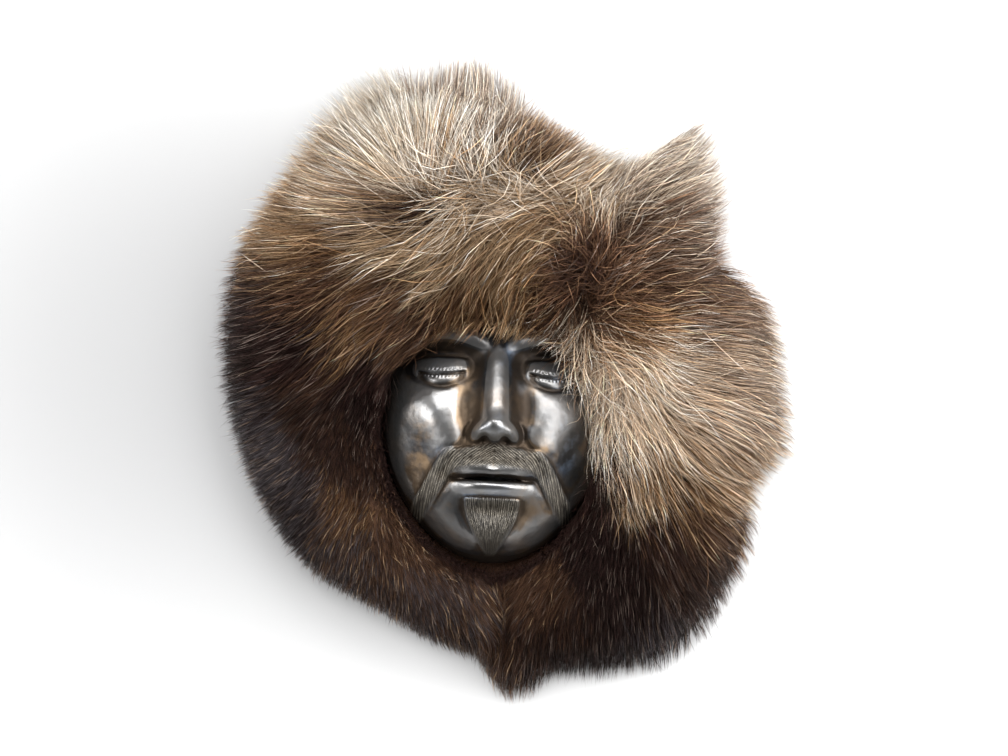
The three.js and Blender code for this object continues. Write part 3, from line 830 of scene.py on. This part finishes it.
def ground_at(place):
    """Height and upward normal of the ground under points seen from above."""
    x, y = place[:, 0], place[:, 1]
    slope_x, slope_y = ground["slope_x"].at(x, y), ground["slope_y"].at(x, y)
    normal = np.stack([-slope_x, -slope_y, np.ones_like(x)], -1)
    normal /= np.linalg.norm(normal, axis=-1, keepdims=True)
    return ground["height"].at(x, y), normal


def comb_rows(roots):
    """The combing row that each hair follows, drawn from those near its root."""
    weights = comb_weights(roots[:, 0], roots[:, 1], TONE_SPREAD)
    row = (np.cumsum(weights, 1) < rng.random(len(roots))[:, None]).sum(1)
    return np.minimum(row, len(COMBING) - 1)


def crossing(roots, rows):
    """Each hair's own heading, and how much it keeps to it, because the rows round it disagree."""
    x, y = comb["x"].at(roots[:, 0], roots[:, 1]), comb["y"].at(roots[:, 0], roots[:, 1])
    return np.radians([COMBING[row][2] for row in rows]), smooth(1 - np.hypot(x, y), 0.04, 0.35)


def lay_hair(roots, length, coat, own, unrest, swing, wave):
    """Paths that leave the skin and bend over to lie along it, the way the fur is combed."""
    place = roots.copy()
    paths = np.empty((len(roots), PATH_STEPS + 1, 3))
    for k in range(PATH_STEPS + 1):
        along = k / PATH_STEPS
        height, normal = ground_at(place)
        rise = coat * (1 - (1 - along) ** 2)
        paths[:, k, :2] = place
        paths[:, k, 2] = height
        paths[:, k] += normal * rise[:, None]
        x, y = comb["x"].at(place[:, 0], place[:, 1]), comb["y"].at(place[:, 0], place[:, 1])
        size = np.maximum(np.hypot(x, y), 1e-3)
        keep = unrest * (1 - 0.6 * along)
        x = (1 - keep) * x / size + keep * np.cos(own)
        y = (1 - keep) * y / size + keep * np.sin(own)
        heading = np.arctan2(y, x) + swing * (1 - 0.4 * along)
        heading = heading + wave[:, 0] * np.sin(wave[:, 1] + along * wave[:, 2])
        step = np.stack([np.cos(heading), np.sin(heading)], -1)
        climb = -(normal[:, :2] * step).sum(-1) / normal[:, 2]
        place = place + step * (length / PATH_STEPS / np.hypot(1, climb))[:, None]
    return paths


def gather(paths, roots, leaders, leader_roots, strength):
    """Pulls each hair towards the nearest leader's, more and more towards its tip."""
    tree = KDTree(len(leader_roots))
    for index, root in enumerate(leader_roots):
        tree.insert((root[0], root[1], 0), index)
    tree.balance()
    nearest = np.array([tree.find((x, y, 0))[1] for x, y in roots])
    along = np.linspace(0, 1, PATH_STEPS + 1)[None, :, None] ** 1.1
    pull = strength[:, None, None] * along
    return paths + (leaders[nearest] - paths) * pull, nearest


def shorten(paths, share, points):
    """Each path's first share, as a given number of evenly spaced points."""
    at = share[:, None] * np.linspace(0, 1, points) * PATH_STEPS
    low = np.minimum(at.astype(int), PATH_STEPS - 1)
    part = (at - low)[..., None]
    rows = np.arange(len(paths))[:, None]
    return paths[rows, low] * (1 - part) + paths[rows, low + 1] * part


def from_opening(points):
    """How far points of the plan lie from the opening's middle, as a multiple of the opening."""
    x, y = points[..., 0] - OPENING_MIDDLE[0], points[..., 1] - OPENING_MIDDLE[1]
    degrees = np.degrees(np.arctan2(y, x))
    return np.hypot(x, y) / around(OPENING, degrees), degrees


def reach(paths, tip_limit, lip_limit):
    """The share of each path that stays inside the fringe and doesn't hang too far over the face."""
    degrees = np.degrees(np.arctan2(paths[..., 1], paths[..., 0]))
    out = np.hypot(paths[..., 0], paths[..., 1]) / around(OUTLINE, degrees) - tip_limit[:, None]
    away, degrees = from_opening(paths)
    out = np.maximum(out, around(LIP_REACH, degrees) * lip_limit[:, None] - away)
    inside = np.cumprod(out < 0, axis=1).sum(1)
    last = np.clip(inside - 1, 0, PATH_STEPS - 1)
    rows = np.arange(len(paths))
    before, after = out[rows, last], out[rows, last + 1]
    part = np.where(after > 0, -before / np.maximum(after - before, 1e-6), 1)
    return np.clip((last + np.clip(part, 0, 1)) / PATH_STEPS, LEAST_LEFT, 1)


def hair_template(points):
    """One hair as a slim three-sided cone along Z, cut into rings."""
    bm = bmesh.new()
    bmesh.ops.create_cone(bm, cap_ends=True, cap_tris=False, segments=3, radius1=1, radius2=0, depth=1)
    bmesh.ops.translate(bm, verts=bm.verts, vec=(0, 0, 0.5))
    for ring in range(1, points - 1):
        bmesh.ops.bisect_plane(bm, geom=list(bm.verts) + list(bm.edges) + list(bm.faces),
                               plane_co=(0, 0, ring / (points - 1)), plane_no=(0, 0, 1))
    mesh = mesh_from(bm, "hair")
    mesh.uv_layers.new(name="OFBake")
    return mesh


def hair_piece(name, paths, radius, tone, lightness_and_shine):
    """Many hairs in one mesh: copies of the template, each bent along its own path."""
    count, points = paths.shape[:2]
    piece = new_piece(name, hair_template(points))
    template = corners(piece.data)
    array = piece.modifiers.new("hairs", "ARRAY")
    array.count = count
    array.use_relative_offset = False
    depsgraph = bpy.context.evaluated_depsgraph_get()
    mesh = bpy.data.meshes.new_from_object(piece.evaluated_get(depsgraph))
    piece.modifiers.clear()
    piece.data = mesh
    mesh.name = name
    ring = np.rint(template[:, 2] * (points - 1)).astype(int)
    angle = np.arctan2(template[:, 1], template[:, 0])
    tangent = np.gradient(paths, axis=1)
    tangent /= np.linalg.norm(tangent, axis=-1, keepdims=True)
    sideways = np.cross(tangent, (0.0, 0.0, 1.0))
    sideways /= np.maximum(np.linalg.norm(sideways, axis=-1, keepdims=True), 1e-6)
    upwards = np.cross(sideways, tangent)
    taper = np.interp(np.linspace(0, 1, points), (0, 0.3, 0.75, 1), (0.75, 1, 0.62, 0))
    across = (sideways[:, ring] * np.cos(angle)[:, None] + upwards[:, ring] * np.sin(angle)[:, None])
    points_out = paths[:, ring] + across * (radius[:, None] * taper[ring])[..., None]
    set_corners(mesh, points_out.reshape(-1, 3))
    loops = np.empty(len(mesh.loops), np.int32)
    mesh.loops.foreach_get("vertex_index", loops)
    hair, corner = loops // len(template), loops % len(template)
    around_hair = (np.cos(angle[corner]) + 1) / 2
    u = (tone[hair] + 0.06 + 0.84 * lightness_and_shine[hair] + 0.04 * around_hair) / len(TONES)
    v = 0.02 + 0.96 * ring[corner] / (points - 1)
    mesh.uv_layers["OFBake"].data.foreach_set("uv", np.stack([u, v], -1).astype(np.float32).ravel())
    mesh.polygons.foreach_set("use_smooth", np.ones(len(mesh.polygons), bool))
    return piece


def root_cells():
    """Small cells of the hide's top: their turn, place across, middle and true area."""
    degrees, across = np.meshgrid(np.arange(0, 360, 0.5), np.linspace(0, 1, 91), indexing="ij")
    grid = hide_top(degrees, across)
    grid = np.concatenate([grid, grid[:1]])
    along = grid[1:, :-1] - grid[:-1, :-1]
    over = grid[:-1, 1:] - grid[:-1, :-1]
    area = np.linalg.norm(np.cross(along, over), axis=-1).ravel()
    middle = grid[:-1, :-1].reshape(-1, 3)
    return degrees[:, :-1].ravel(), across[:, :-1].ravel(), middle[:, 0], middle[:, 1], area


def scatter(count, weights):
    """Roots on the hide, thicker where the weights are larger."""
    degrees, across, _, _, area = cells
    chance = np.cumsum(area * weights)
    pick = np.searchsorted(chance, rng.random(count) * chance[-1])
    pick = np.minimum(pick, len(area) - 1)
    turn = degrees[pick] + 0.5 * rng.random(count)
    return hide_top(turn, np.clip(across[pick] + rng.random(count) / 90, 0, 1))[:, :2]


def waves(count, size):
    return np.stack([size * (0.3 + rng.random(count)), 2 * math.pi * rng.random(count),
                     4 + 5 * rng.random(count)], -1)


def depth_at(place):
    """Depth of the coat at points of the plan."""
    degrees = np.degrees(np.arctan2(place[:, 1], place[:, 0]))
    return around(COAT, degrees, 2)


def grow_leaders(count, weights):
    """Hairs that the others are gathered to."""
    roots = scatter(count, weights)
    length = comb["length"].at(roots[:, 0], roots[:, 1])
    ruffled = comb["ruffled"].at(roots[:, 0], roots[:, 1])
    own, unrest = crossing(roots, comb_rows(roots))
    swing = rng.normal(0, 1, count) * (0.05 + 0.9 * ruffled)
    return lay_hair(roots, length, 0.8 * depth_at(roots), own, unrest, swing, waves(count, 0.12)), roots


def tone_of(paths, step=SHOWING_STEP):
    """A tone for each hair, from the combing row near the part of it that shows."""
    rows = comb_rows(paths[:, step, :2])
    table = np.array([[TONE_NAMES.index(tone) for tone in row[4:6]] for row in COMBING])
    return table[rows, (rng.random(len(rows)) > MAIN_TONE_SHARE).astype(int)]


def grow_sprays(name, radius):
    """Long single hairs that fan out from a few places."""
    paths, tones = [], []
    for x, y, spread, first, last, count, length, curl, lip, past in SPRAYS:
        roots = rng.normal((x, y), spread, (count, 2))
        own = np.radians(first + (last - first) * rng.random(count))
        longest = length * (0.75 + 0.35 * rng.random(count))
        rise = (0.5 + 0.9 * rng.random(count)) * depth_at(roots)
        unrest = np.full(count, 0.85)
        path = lay_hair(roots, longest, rise, own, unrest, 0, waves(count, curl))
        within = reach(path, 1 + past * rng.random(count), lip * (0.95 + 0.1 * rng.random(count)))
        paths.append(shorten(path, within, SPRAY_POINTS))
        tones.append(tone_of(path, SPRAY_SHOWING_STEP))
    count = sum(len(path) for path in paths)
    lightness_and_shine = 0.15 + 0.85 * rng.random(count) ** 1.3
    thick = radius * (0.7 + 0.5 * rng.random(count))
    return hair_piece(name, np.concatenate(paths), thick, np.concatenate(tones), lightness_and_shine)


def grow_coat(name, count, points, pieces, radius, weights, gathered, curl=0.10, down=None):
    """One kind of hair over part of the hide, split by turn into pieces of bearable size."""
    if down is None:
        roots = scatter(count, weights)
    else:
        roots = wall_point(360 * rng.random(count), down)[:, :2]
    length = comb["length"].at(roots[:, 0], roots[:, 1])
    ruffled = comb["ruffled"].at(roots[:, 0], roots[:, 1])
    stray = rng.random(count) < STRAY_SHARE
    own, unrest = crossing(roots, comb_rows(roots))
    swing = rng.normal(0, 1, count) * (0.07 + 0.8 * ruffled + 0.3 * stray)
    layer = np.where(stray, 1.3 + 0.6 * rng.random(count), 0.15 + 0.95 * rng.random(count) ** 0.8)
    if down is not None:
        layer = 0.8 * layer * (1 - down)
        length = np.maximum(length, LEAST_EDGE_LENGTH)
    paths = lay_hair(roots, length, layer * depth_at(roots), own, unrest, swing, waves(count, curl))
    tuft_paths, tuft_roots = tufts
    loose = np.where(stray, 0.05, 1) * (1 - 0.8 * unrest)
    paths, tuft = gather(paths, roots, tuft_paths, tuft_roots,
                         loose * gathered * (0.55 + 0.45 * rng.random(count)))
    if down is not None:
        paths[..., 2] *= (1 - 0.97 * down)[:, None]
    degrees = np.degrees(np.arctan2(roots[:, 1], roots[:, 0]))
    furthest = around(FRINGE, degrees, 1) - around(FRINGE, degrees, 2) * tuft_chance[tuft % len(tuft_chance)]
    lip_limit = np.where(stray, 0.75, 0.86 + 0.14 * rng.random(count))
    within = reach(paths, furthest + rng.normal(0, 0.008, count) + 0.02 * stray, lip_limit)
    short = rng.random(count) < UNDERCOAT_SHARE
    share = np.where(short, 0.45 + 0.4 * rng.random(count), 0.8 + 0.2 * rng.random(count))
    tone = np.where(rng.random(count) < TUFT_TONE_SHARE * (1 - unrest), tuft_tones[tuft], tone_of(paths))
    paths = shorten(paths, np.minimum(share, within), points)
    paths[..., 2] = np.maximum(paths[..., 2], LEAST_HEIGHT)
    on_top = np.clip(layer / layer.max(), 0, 1)
    # Each hair's lightness: partly random, and partly painted highlight, higher for hairs on top of the coat
    lightness_and_shine = 0.15 * tuft_chance[tuft * 7 % len(tuft_chance)] + 0.3 * on_top + 0.55 * rng.random(count)
    # Flecks: a share of the hairs on top turn lighter and shinier, partly painted sheen
    fleck = (rng.random(count) < FLECK_SHARE) & (on_top > 0.45)
    is_short = length < SHORT_LENGTH
    # Short fur at the lip is painted dark as shade: sable, with little shine
    lip_painted_shade = is_short & (from_opening(roots)[0] < LIP_SHADE_REACH)
    lighter = np.array([TONE_NAMES.index(FLECKS[name]) for name in TONE_NAMES])
    tone = np.where(fleck, lighter[tone], tone)
    lightness_and_shine = np.where(fleck, np.maximum(lightness_and_shine, 0.55 + 0.4 * rng.random(count)), lightness_and_shine)
    lightness_and_shine = lightness_and_shine * np.where(is_short, 0.88, 1) * np.where(lip_painted_shade, 0.3, 1)
    tone = np.where(lip_painted_shade, TONE_NAMES.index("SABLE"), tone)
    thick = radius * (0.68 + 0.3 * on_top + 0.4 * lightness_and_shine**4) * np.where(stray, 0.75, 1)
    order = np.argsort(np.arctan2(roots[:, 1], roots[:, 0]))
    made = []
    for number, part in enumerate(np.array_split(order, pieces), 1):
        made.append(hair_piece(f"{name}_{number}", paths[part], thick[part], tone[part], lightness_and_shine[part]))
    return made


# Materials

class Value:
    """A number that varies over a surface, with Python's arithmetic as Math nodes."""

    def __init__(self, finish, socket):
        self.finish = finish
        self.socket = socket

    def math(self, operation, *others):
        return self.finish.value("ShaderNodeMath", {"operation": operation}, dict(enumerate((self, *others))))

    def __add__(self, other):
        return self.math("ADD", other)

    def __radd__(self, other):
        return self.math("ADD", other)

    def __sub__(self, other):
        return self.math("SUBTRACT", other)

    def __rsub__(self, other):
        return (self * -1) + other

    def __mul__(self, other):
        return self.math("MULTIPLY", other)

    def __rmul__(self, other):
        return self.math("MULTIPLY", other)

    def __pow__(self, other):
        return self.math("POWER", other)


class Finish:
    """A material, with one way to make its nodes."""

    def __init__(self, name):
        self.material = bpy.data.materials.new(name)
        self.material.use_nodes = True
        self.tree = self.material.node_tree
        self.surface = self.tree.nodes["Principled BSDF"]

    def node(self, kind, settings=None, inputs=None):
        made = self.tree.nodes.new(kind)
        for key, setting in (settings or {}).items():
            if key == "stops":
                self.set_stops(made.color_ramp, setting)
            elif key == "interpolation":
                made.color_ramp.interpolation = setting
            else:
                setattr(made, key, setting)
        self.feed(made, inputs or {})
        return made

    def set_stops(self, ramp, stops):
        while len(ramp.elements) < len(stops):
            ramp.elements.new(0.5)
        for element, (position, colour) in zip(ramp.elements, stops):
            element.position = position
            element.color = (*colour, 1)

    def feed(self, made, inputs):
        for key, given in inputs.items():
            if isinstance(given, Value):
                self.tree.links.new(given.socket, made.inputs[key])
            else:
                made.inputs[key].default_value = given

    def value(self, kind, settings=None, inputs=None, output=0):
        return Value(self, self.node(kind, settings, inputs).outputs[output])

    def noise(self, place, scale, detail=3.0, rough=0.55):
        return self.value("ShaderNodeTexNoise", None,
                          {"Vector": place, "Scale": scale, "Detail": detail, "Roughness": rough})

    def step(self, value, low, high):
        return self.value("ShaderNodeMapRange", {"interpolation_type": "SMOOTHSTEP"},
                          {"Value": value, "From Min": low, "From Max": high})

    def mix(self, factor, start, end):
        made = self.node("ShaderNodeMix", {"data_type": "RGBA"})
        colours = [socket for socket in made.inputs if socket.type == "RGBA"]
        self.feed(made, {0: factor})
        for socket, given in zip(colours, (start, end)):
            if isinstance(given, Value):
                self.tree.links.new(given.socket, socket)
            else:
                socket.default_value = (*given, 1)
        return Value(self, next(socket for socket in made.outputs if socket.type == "RGBA"))

    def brighten(self, colour, amount):
        return self.value("ShaderNodeVectorMath", {"operation": "SCALE"}, {0: colour, "Scale": amount})

    def at_most(self, colour, limit):
        return self.value("ShaderNodeVectorMath", {"operation": "MINIMUM"}, {0: colour, 1: limit})

    def bump(self, height, distance):
        return self.value("ShaderNodeBump", None, {"Height": height, "Distance": distance})


def lustre_glaze():
    """Dark pewter lustre over burnished clay: brown in its recesses, silvery where it is rubbed."""
    glaze = Finish("lustre_glaze")
    place = glaze.value("ShaderNodeTexCoord", output="Object")
    stroked, across, along, recess = (
        glaze.value("ShaderNodeAttribute", {"attribute_name": name}, output="Fac")
        for name in ("stroked", "stroke_across", "stroke_along", "recess"))
    stroke_place = glaze.value("ShaderNodeCombineXYZ", None, {"X": across, "Y": along * 0.12})
    drift = glaze.noise(stroke_place, 0.8, 2, 0.6)
    hairs = (across * 5.2 + drift * 9).math("SINE") * 0.5 + 0.5
    hairs = hairs * glaze.step(glaze.noise(stroke_place, 1.6, 2, 0.6), 0.3, 0.6)
    clouds = glaze.noise(place, 26, 4)
    tint = glaze.noise(place, 34, 4, 0.6)
    specks = glaze.noise(place, 900, 2)
    burnish = glaze.noise(place, 75, 2, 0.4)
    hollows = glaze.step(recess + 0.35 * (clouds - 0.5), 0.5, 0.85)
    rubbed = glaze.step(recess + 0.3 * (tint - 0.5), 0.5, 0.3)
    pewter = glaze.mix(glaze.step(clouds, 0.35, 0.68), (0.042, 0.042, 0.045), (0.160, 0.158, 0.156))
    warm = glaze.mix(glaze.step(tint, 0.46, 0.62) * 0.65, pewter, (0.27, 0.18, 0.10))
    cool = glaze.mix(glaze.step(tint, 0.44, 0.33) * 0.6, warm, (0.16, 0.21, 0.29))
    aged = glaze.mix(hollows * 0.85, cool, (0.045, 0.032, 0.022))
    bright = glaze.mix(rubbed * 0.6, aged, (0.34, 0.336, 0.332))
    cut = glaze.mix(hairs, (0.018, 0.014, 0.010), (0.24, 0.215, 0.175))
    glaze.feed(glaze.surface, {
        "Base Color": glaze.mix(stroked * 0.92, bright, cut),
        "Metallic": 0.95 - 0.25 * stroked,
        "Roughness": (0.25 + 0.16 * glaze.step(clouds, 0.7, 0.35) + 0.06 * specks + 0.1 * stroked
                      + 0.12 * hollows),
        "Normal": glaze.bump(burnish + 0.12 * glaze.noise(place, 260, 3) + 0.02 * specks
                             + 0.35 * stroked * hairs, 0.0012),
    })
    return glaze.material


def hair_finish():
    """Banded hairs: the map's u is the tone, and its v runs from root to tip. The fraction of u is each
    hair's lightness, partly random and partly a painted highlight that grows towards the tip.
    """
    hair = Finish("fur_hair")
    split = hair.node("ShaderNodeSeparateXYZ", None, {0: hair.value("ShaderNodeUVMap", {"uv_map": "OFBake"})})
    u, v = Value(hair, split.outputs["X"]), Value(hair, split.outputs["Y"])
    layers = []
    for layer in range(3):
        stops = [(index / len(TONES), tone[layer]) for index, tone in enumerate(TONES.values())]
        layers.append(hair.value("ShaderNodeValToRGB", {"stops": stops, "interpolation": "CONSTANT"}, {0: u}))
    # Dark roots fading to lighter tips: partly the hair's banding, partly painted shade deep in the coat
    lower = hair.mix(hair.step(v, 0.05, 0.4), layers[0], layers[1])
    upper = hair.mix(hair.step(v, 0.5, 0.95), lower, layers[2])
    lightness_and_shine = (u * len(TONES)).math("FRACT")
    hair.feed(hair.surface, {
        "Base Color": hair.at_most(hair.brighten(upper, 0.42 + lightness_and_shine ** 4 * (0.8 + 3.4 * v ** 2)),
                                   (0.95, 0.92, 0.87)),
        "Roughness": 0.42,
        "Specular IOR Level": 0.14,
        "Specular Tint": (1.0, 0.85, 0.70, 1),
    })
    return hair.material


def underfur_finish():
    """Short dense underfur, darkened partly as painted shade deep in the coat, with bare suede on the flat
    back.
    """
    hide = Finish("underfur")
    place = hide.value("ShaderNodeTexCoord", output="Object")
    height = Value(hide, hide.node("ShaderNodeSeparateXYZ", None, {0: place}).outputs["Z"])
    fibres = hide.noise(place, 1400, 3, 0.7)
    shade = hide.value("ShaderNodeAttribute", {"attribute_name": "underfur"}, output="Color")
    furry = hide.brighten(shade, 0.35 + 0.9 * fibres)
    nap = hide.noise(place, 300, 4)
    suede = hide.mix(nap, (0.34, 0.25, 0.17), (0.52, 0.41, 0.30))
    back = hide.step(height, 0.0022, 0.0006)
    hide.feed(hide.surface, {
        "Base Color": hide.mix(back, furry, suede),
        "Roughness": 0.85,
        "Specular IOR Level": 0.15,
        "Normal": hide.bump(fibres, 0.0006),
    })
    return hide.material


def floor_finish():
    floor = Finish("pale_floor")
    place = floor.value("ShaderNodeTexCoord", output="Object")
    away = floor.value("ShaderNodeVectorMath", {"operation": "DISTANCE"}, {0: place, 1: FLOOR_PAINTED_SHADOW}, "Value")
    # A shadow painted into the floor's colour: grey near the point left of the mask, fading to pale half a
    # metre away
    under = floor.mix(floor.noise(place, 3, 2), (0.28, 0.28, 0.283), (0.30, 0.30, 0.30))
    floor.feed(floor.surface, {
        "Base Color": floor.mix(floor.step(away, 0.02, 0.52), under, (0.68, 0.68, 0.68)),
        "Roughness": 0.9,
        "Specular IOR Level": 0.1,
    })
    return floor.material


# Camera, light and floor

def place_camera():
    """Straight above, with the top of the photograph towards +Y."""
    camera = bpy.data.cameras.new("camera")
    camera.lens = CAMERA_LENS
    camera.sensor_width = SENSOR_WIDTH
    camera.clip_end = 20
    placed = bpy.data.objects.new("camera", camera)
    placed.location = CAMERA_PLACE
    bpy.context.scene.collection.objects.link(placed)
    bpy.context.scene.camera = placed


def soft_light(name, place, size, power):
    light = bpy.data.lights.new(name, "AREA")
    light.shape = "RECTANGLE"
    light.size, light.size_y = size
    light.energy = power
    lamp = bpy.data.objects.new(name, light)
    lamp.location = place
    lamp.rotation_euler = (Vector((0, 0, 0.04)) - Vector(place)).to_track_quat("-Z", "Y").to_euler()
    bpy.context.scene.collection.objects.link(lamp)
    return lamp


def studio():
    """A dome that is dark overhead and bright round its foot, with soft lights on each side."""
    world = bpy.data.worlds.new("studio")
    world.use_nodes = True
    tree = world.node_tree
    direction = tree.nodes.new("ShaderNodeTexCoord")
    turned = tree.nodes.new("ShaderNodeVectorMath")
    turned.operation = "DOT_PRODUCT"
    turned.inputs[1].default_value = (-0.15, -0.45, 0.88)
    dome = tree.nodes.new("ShaderNodeValToRGB")
    for element, (position, level) in zip(dome.color_ramp.elements, ((0.1, 1.1), (0.85, 0.08))):
        element.position = position
        element.color = (level, level, level, 1)
    tree.links.new(direction.outputs["Generated"], turned.inputs[0])
    tree.links.new(turned.outputs["Value"], dome.inputs[0])
    tree.links.new(dome.outputs["Color"], tree.nodes["Background"].inputs["Color"])
    bpy.context.scene.world = world
    soft_light("key", (1.2, 0.30, 0.80), (2.1, 1.8), 58)
    soft_light("top", (0.0, 1.2, 1.0), (1.4, 0.8), 21)
    soft_light("left", (-1.5, 0.1, 0.55), (0.9, 0.7), 13)
    bpy.context.scene.view_settings.view_transform = "Standard"
    bm = bmesh.new()
    bmesh.ops.create_circle(bm, cap_ends=True, segments=96, radius=FLOOR_RADIUS)
    floor = new_piece("floor", mesh_from(bm, "floor"), False)
    floor.data.materials.append(floor_finish())
    overhead = soft_light("overhead", (-0.5, 0.35, 1.5), (1.3, 1.1), 34)
    overhead.visible_glossy = False


place_camera()
studio()

# What the functions above share: the ground, the combing, the places of roots and the tufts
rng = np.random.default_rng(SEED)
heights = ground_field()
slope_rows, slope_columns = np.gradient(heights, GROUND_STEP)
ground = {"height": Field(heights, GROUND_STEP), "slope_x": Field(slope_columns, GROUND_STEP),
          "slope_y": Field(slope_rows, GROUND_STEP)}
comb = dict(zip(("x", "y", "length", "ruffled"), comb_fields()))
cells = root_cells()
long_share = smooth(comb["length"].at(cells[2], cells[3]), 22, 28)
curly = smooth(comb["ruffled"].at(cells[2], cells[3]), 0.15, 0.6)
every = np.ones_like(curly)
at_lip = 1 + LIP_EXTRA * (cells[1] < LIP_WIDTH)
thin = 1.0
tuft_chance = rng.random(LUCK)

locks = grow_leaders(LOCKS, every)
tuft_paths, tuft_roots = grow_leaders(TUFTS, every)
tuft_paths, _ = gather(tuft_paths, tuft_roots, *locks, 0.5 + 0.35 * rng.random(len(tuft_roots)))
tufts = tuft_paths, tuft_roots
tuft_tones = tone_of(tuft_paths)

edge_count = int(EDGE_HAIRS * thin)
coat = [
    *grow_coat("long_hair", int(LONG_HAIRS * thin), points=4, pieces=3, radius=LONG_RADIUS,
               weights=long_share * (1 - 0.5 * curly), gathered=0.7),
    *grow_coat("curled_hair", int(CURLED_HAIRS * thin), points=6, pieces=1, radius=CURLED_RADIUS,
               weights=curly, gathered=0.1, curl=0.45),
    *grow_coat("short_fur", int(SHORT_HAIRS * thin), points=3, pieces=2, radius=SHORT_RADIUS,
               weights=at_lip * (1 - long_share), gathered=0.12),
    *grow_coat("edge_fur", edge_count, points=3, pieces=1, radius=LONG_RADIUS,
               weights=every, gathered=0.35, down=rng.random(edge_count)),
    grow_sprays("spray_hair", LONG_RADIUS),
]

face = pottery_face()
hide = ruff_hide()
for piece, finish, slot in ((face, lustre_glaze(), "lustre_glaze"), (hide, underfur_finish(), "fur")):
    piece.data.materials.append(finish)
    piece.data.set_sharp_from_angle(angle=math.radians(50))
    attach(piece, "root")
hair_material = hair_finish()
for piece in coat:
    piece.data.materials.append(hair_material)
    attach(piece, "root")
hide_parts("pottery_face")
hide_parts("fur_ruff")
